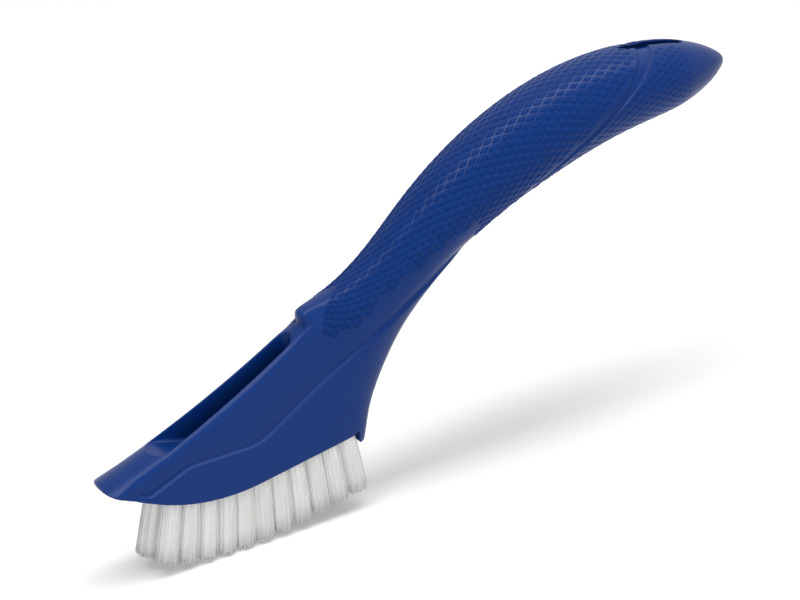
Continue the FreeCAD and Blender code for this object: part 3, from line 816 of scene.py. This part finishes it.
def makeTuft(name, root, heading, material):
    t = tufts
    bm = bmesh.new()
    tone = bm.verts.layers.float.new("filamentTone")
    across = heading.cross(Vector((0, 1, 0))).normalized()
    beside = heading.cross(across).normalized()
    level = random.uniform(0.0, t["levels"])
    coreFlare = t["tipRadius"] * t["coreSpread"]
    for vert in strandTemplate(bm, t["coreSides"]):
        out = (across * vert.co.x + beside * vert.co.y).normalized()
        line = strandLine(root, heading, out, t["coreSpread"], coreFlare, level + t["coreShort"])
        vert.co = strandPoint(line, vert.co.z, out, t["coreSpread"], Vector())
        vert[tone] = t["coreTone"]
    seedVerts = strandTemplate(bm, t["filamentSides"])
    seedEdges = {e for v in seedVerts for e in v.link_edges}
    seedFaces = {f for v in seedVerts for f in v.link_faces}
    seed = seedVerts + list(seedEdges) + list(seedFaces)
    stray, sway = t["tipStray"], t["sway"]
    for k in range(t["filaments"]):
        spread = math.sqrt((k + 0.5) / t["filaments"])
        turn = k * t["goldenAngle"] + random.uniform(-t["turnStray"], t["turnStray"])
        out = across * math.cos(turn) + beside * math.sin(turn)
        flare = t["tipRadius"] * spread * random.uniform(*t["flareStray"]) + random.uniform(-stray, stray)
        shorter = level + abs(random.gauss(0, t["ragged"])) + t["edgeShort"] * spread ** 4
        line = strandLine(root, heading, out, spread, flare, shorter)
        lean = across * random.gauss(0, sway) + beside * random.gauss(0, sway)
        shade = random.random()
        made = bmesh.ops.duplicate(bm, geom=seed)["vert_map"]
        for old in seedVerts:
            vert = made[old]
            side = (across * old.co.x + beside * old.co.y) * t["filamentRadius"]
            vert.co = strandPoint(line, old.co.z, out, spread, lean) + side
            vert[tone] = shade
    bmesh.ops.delete(bm, geom=seedVerts, context="VERTS")
    bmesh.ops.recalc_face_normals(bm, faces=bm.faces)
    for face in bm.faces:
        face.smooth = True
    return pieceObject(name, bm, material)


def makeTufts(material):
    t = tufts
    total = 0
    for row, y, lead, splay in (("middle", 0, 0, 0), ("left", t["rowY"], t["pitch"] / 2, t["splay"]),
                                ("right", -t["rowY"], t["pitch"] / 2, -t["splay"])):
        for place in range(t["perRow"]):
            x = t["firstX"] + lead + t["pitch"] * place
            lean = (x - t["fanX"]) / t["fanRadius"]
            heading = Vector((math.sin(lean), math.tan(math.radians(splay)), -math.cos(lean))).normalized()
            name = f"{row}Tuft{place + 1:02d}"
            tuft = makeTuft(name, Vector((x, y, float(faceZ(x)))), heading, material)
            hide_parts(f"tuft_{row}_{place + 1:02d}")
            total += len(tuft.data.polygons)
    print("tuft faces", total)


# Extruded nylon filament: milky white, a little glossy, no two quite the same tone, and some light comes through
filament = {"pale": "#FDFDFC", "deep": "#F3F3F1", "roughness": 0.4, "glow": 0.22}


def nylonFilament():
    material, tree = newMaterial("nylonFilament")
    tone = addNode(tree, "ShaderNodeAttribute", {"attribute_name": "filamentTone"})
    colour = addNode(tree, "ShaderNodeMix", {"data_type": "RGBA"},
                     {6: linear(filament["deep"]), 7: linear(filament["pale"])}, {0: tone.outputs["Fac"]})
    skin = addNode(tree, "ShaderNodeBsdfPrincipled", inputs={"IOR": 1.53, "Roughness": filament["roughness"]},
                   links={"Base Color": colour.outputs[2]})
    through = addNode(tree, "ShaderNodeBsdfTranslucent", links={"Color": colour.outputs[2]})
    shader = addNode(tree, "ShaderNodeMixShader", inputs={0: filament["glow"]},
                     links={1: skin.outputs["BSDF"], 2: through.outputs["BSDF"]})
    addNode(tree, "ShaderNodeOutputMaterial", links={"Surface": shader.outputs["Shader"]})
    return material


# Flat steel wire: bright drawn metal with fine lengthwise marks
wire = {"bright": "#C9CBCE", "dull": "#A9ACB0", "roughness": 0.3, "drawMm": 0.3}


def drawnSteelWire():
    material, tree = newMaterial("drawnSteelWire")
    place = addNode(tree, "ShaderNodeTexCoord").outputs["Object"]
    marks = addNode(tree, "ShaderNodeTexNoise", inputs={"Scale": 1000 / wire["drawMm"], "Detail": 2.0},
                    links={"Vector": place})
    colour = addNode(tree, "ShaderNodeMix", {"data_type": "RGBA"},
                     {6: linear(wire["dull"]), 7: linear(wire["bright"])}, {0: marks.outputs["Fac"]})
    shader = addNode(tree, "ShaderNodeBsdfPrincipled", inputs={"Metallic": 1.0, "Roughness": wire["roughness"]},
                     links={"Base Color": colour.outputs[2]})
    addNode(tree, "ShaderNodeOutputMaterial", links={"Surface": shader.outputs["BSDF"]})
    return material


# Light and camera: the target and distance in mm, the lamps (name, place, aim, size, power, mirrored) in metres
studio = {"target": (-8.53, 0.0, 59.42), "distance": 740.25, "azimuth": 30.0, "elevation": 26.0, "roll": 3.0,
          "focalPixels": 2550.0, "photoPixels": 800, "sensorMm": 36.0, "clip": (0.01, 20.0), "floorHalf": 6.0,
          "floor": "#FAFAFA", "bounce": "#C4C4C4", "fill": 0.22, "paper": 0.2,
          "lamps": (("softKey", (-0.1, -0.12, 1.3), (-0.1, 0.0, 0.06), (1.8, 0.45), 14.0, True),
                    ("topBack", (0.45, 0.75, 1.2), (0.0, 0.0, 0.06), (1.5, 1.2), 3.2, True),
                    ("lowFront", (-0.35, -1.15, 0.22), (0.0, 0.0, 0.06), (1.6, 0.4), 8.5, False))}


def placeCamera():
    side, lift = math.radians(studio["azimuth"]), math.radians(studio["elevation"])
    toward = Vector((-math.sin(side) * math.cos(lift), -math.cos(side) * math.cos(lift), math.sin(lift)))
    right = Vector((math.cos(side), -math.sin(side), 0))
    up = toward.cross(right)
    turn = math.radians(studio["roll"])
    rightTurned = right * math.cos(turn) - up * math.sin(turn)
    upTurned = right * math.sin(turn) + up * math.cos(turn)
    camera = bpy.data.objects.new("photoCamera", bpy.data.cameras.new("photoCamera"))
    bpy.context.scene.collection.objects.link(camera)
    place = (Vector(studio["target"]) + toward * studio["distance"]) * mm
    camera.matrix_world = Matrix((rightTurned, upTurned, toward)).transposed().to_4x4()
    camera.location = place
    camera.data.sensor_width = studio["sensorMm"]
    camera.data.lens = studio["focalPixels"] / studio["photoPixels"] * studio["sensorMm"]
    camera.data.clip_start, camera.data.clip_end = studio["clip"]
    bpy.context.scene.camera = camera


def areaLight(name, place, aim, size, power, mirrored):
    light = bpy.data.objects.new(name, bpy.data.lights.new(name, "AREA"))
    bpy.context.scene.collection.objects.link(light)
    light.data.shape, light.data.size, light.data.size_y = "RECTANGLE", size[0], size[1]
    light.data.energy = power
    light.visible_glossy = mirrored
    light.location = place
    light.rotation_euler = (Vector(aim) - Vector(place)).to_track_quat("-Z", "Y").to_euler()


def seenDirectly(tree):
    # 1 where the camera, a reflection or something clear looks straight at the studio, 0 for the light it throws
    path = addNode(tree, "ShaderNodeLightPath").outputs
    seen = addNode(tree, "ShaderNodeMath", {"operation": "ADD"},
                   links={0: path["Is Camera Ray"], 1: path["Is Glossy Ray"]})
    return addNode(tree, "ShaderNodeMath", {"operation": "ADD"},
                   links={0: seen.outputs["Value"], 1: path["Is Transmission Ray"]}).outputs["Value"]


def studioStage():
    bm = bmesh.new()
    bmesh.ops.create_grid(bm, x_segments=1, y_segments=1, size=studio["floorHalf"])
    mesh = bpy.data.meshes.new("studioFloor")
    bm.to_mesh(mesh)
    bm.free()
    floor = bpy.data.objects.new("studioFloor", mesh)
    bpy.context.scene.collection.objects.link(floor)
    material, tree = newMaterial("paleStudioFloor")
    seen = seenDirectly(tree)
    colour = addNode(tree, "ShaderNodeMix", {"data_type": "RGBA"},
                     {6: linear(studio["bounce"]), 7: linear(studio["floor"])}, {0: seen})
    matt = addNode(tree, "ShaderNodeBsdfDiffuse", links={"Color": colour.outputs[2]})
    lift = addNode(tree, "ShaderNodeMapRange", inputs={"To Max": studio["paper"]}, links={"Value": seen})
    glow = addNode(tree, "ShaderNodeEmission", links={"Strength": lift.outputs["Result"]})
    shader = addNode(tree, "ShaderNodeAddShader", links={0: matt.outputs["BSDF"], 1: glow.outputs["Emission"]})
    addNode(tree, "ShaderNodeOutputMaterial", links={"Surface": shader.outputs["Shader"]})
    floor.data.materials.append(material)
    world = bpy.data.worlds.new("studioWorld")
    bpy.context.scene.world = world
    world.use_nodes = True
    tree = world.node_tree
    level = addNode(tree, "ShaderNodeMapRange", inputs={"To Min": studio["fill"], "To Max": 1.0},
                    links={"Value": seenDirectly(tree)})
    background = tree.nodes["Background"]
    background.inputs["Color"].default_value = (1, 1, 1, 1)
    tree.links.new(level.outputs["Result"], background.inputs["Strength"])
    for lamp in studio["lamps"]:
        areaLight(*lamp)
    print("studio lamps", len(studio["lamps"]))
    bpy.context.scene.view_settings.view_transform = "Standard"


placeCamera()
studioStage()
blue = mouldedPolypropylene("mouldedPolypropylene", *plastic["satin"])
shell = makeBody(blue)
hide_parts("brush_body")
makePads(mouldedPolypropylene("etchedPolypropylene", *plastic["etched"]))
makeTufts(nylonFilament())
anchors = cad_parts["tuft_anchors"]
anchors.data.materials.clear()
anchors.data.materials.append(drawnSteelWire())
print("anchor faces", len(anchors.data.polygons))
